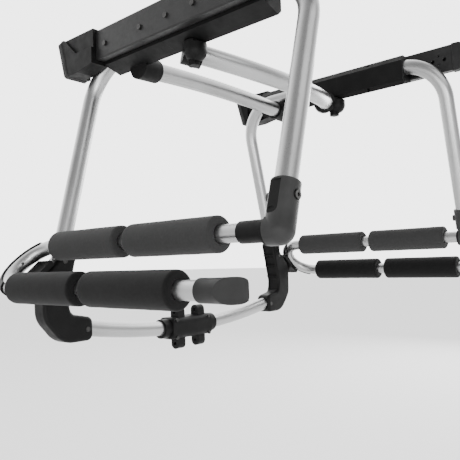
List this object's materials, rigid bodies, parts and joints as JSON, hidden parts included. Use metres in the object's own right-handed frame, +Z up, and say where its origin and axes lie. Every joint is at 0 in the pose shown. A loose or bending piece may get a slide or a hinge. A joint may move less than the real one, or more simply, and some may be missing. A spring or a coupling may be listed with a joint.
{
  "type": "ski carrier",
  "caption": "Vehicle ski carrier: two side beams on bowed cross tubes, each with a sliding drop tube, an elbow and a folding U-shaped arm with foam rolls that holds skis upright.",
  "frame": {"origin": "midway between the faces of the two pads that rest on the vehicle", "axes": "+X across the vehicle to the carrier's right arm, +Y towards the vehicle, +Z up"},
  "size_m": [0.989, 0.646, 0.6745],
  "materials": {
    "anodised_tube": "satin anodised, silver",
    "profile_paint": "black powder coat, satin",
    "elbow_grey": "dark grey moulded, satin",
    "cap_plastic": "black moulded, satin",
    "pad_rubber": "matte black",
    "roll_foam": "matte closed-cell foam, near black",
    "fastener_steel": "dark zinc",
    "moulded_black": "black fine-textured"
  },
  "bodies": {
    "carrier_frame": {"arm_cradle_left": "moulded_black", "arm_cradle_right": "moulded_black", "beam_end_cap_left": "cap_plastic", "beam_end_cap_right": "cap_plastic", "beam_screws_left": "fastener_steel", "beam_screws_right": "fastener_steel", "beam_sleeve_left": "moulded_black", "beam_sleeve_right": "moulded_black", "box_profile_left": "profile_paint", "box_profile_right": "profile_paint", "clamp_knob_left": "moulded_black", "clamp_knob_right": "moulded_black", "corner_moulding_left": "moulded_black", "corner_moulding_right": "moulded_black", "corner_screws_left": "fastener_steel", "corner_screws_right": "fastener_steel", "end_block_left": "moulded_black", "end_block_right": "moulded_black", "hub_front": "moulded_black", "hub_rear": "moulded_black", "hub_screws": "fastener_steel", "inner_bracket_left": "moulded_black", "inner_bracket_right": "moulded_black", "inner_cross_tube": "anodised_tube", "leg_tube_left": "anodised_tube", "leg_tube_right": "anodised_tube", "lower_cross_tube": "anodised_tube", "outer_bracket_left": "moulded_black", "outer_bracket_right": "moulded_black", "outer_cross_tube": "anodised_tube", "vehicle_pad_left": "pad_rubber", "vehicle_pad_right": "pad_rubber"},
    "right_drop_arm": {"drop_tube_right": "anodised_tube", "elbow_right": "elbow_grey", "elbow_panel_right": "moulded_black", "elbow_bolt_right": "fastener_steel", "elbow_nut_right": "fastener_steel", "arm_liner_right": "moulded_black"},
    "right_ski_arm": {"arm_tube_right": "anodised_tube", "arm_retainer_right": "moulded_black", "bend_guard_right": "moulded_black", "arm_end_cap_right": "cap_plastic", "upper_outer_foam_right": "roll_foam", "upper_inner_foam_right": "roll_foam", "lower_outer_foam_right": "roll_foam", "lower_inner_foam_right": "roll_foam"},
    "left_drop_arm": {"drop_tube_left": "anodised_tube", "elbow_left": "elbow_grey", "elbow_panel_left": "moulded_black", "elbow_bolt_left": "fastener_steel", "elbow_nut_left": "fastener_steel", "arm_liner_left": "moulded_black"},
    "left_ski_arm": {"arm_tube_left": "anodised_tube", "arm_retainer_left": "moulded_black", "bend_guard_left": "moulded_black", "arm_end_cap_left": "cap_plastic", "upper_outer_foam_left": "roll_foam", "upper_inner_foam_left": "roll_foam", "lower_outer_foam_left": "roll_foam", "lower_inner_foam_left": "roll_foam"}
  },
  "joints": [
    {"name": "right_drop_tube_slide", "type": "slide", "parent": "carrier_frame", "child": "right_drop_arm", "axis": [0, -1, 0], "range_m": [0, 0.05]},
    {"name": "right_ski_arm_fold", "type": "hinge", "parent": "right_drop_arm", "child": "right_ski_arm", "pos_m": [0.382, -0.58252, -0.39029], "axis": [0, -1, 0], "range_deg": [0, 90]},
    {"name": "left_drop_tube_slide", "type": "slide", "parent": "carrier_frame", "child": "left_drop_arm", "axis": [0, -1, 0], "range_m": [0, 0.05]},
    {"name": "left_ski_arm_fold", "type": "hinge", "parent": "left_drop_arm", "child": "left_ski_arm", "pos_m": [-0.382, -0.58252, -0.39029], "axis": [0, 1, 0], "range_deg": [0, 90]}
  ]
}
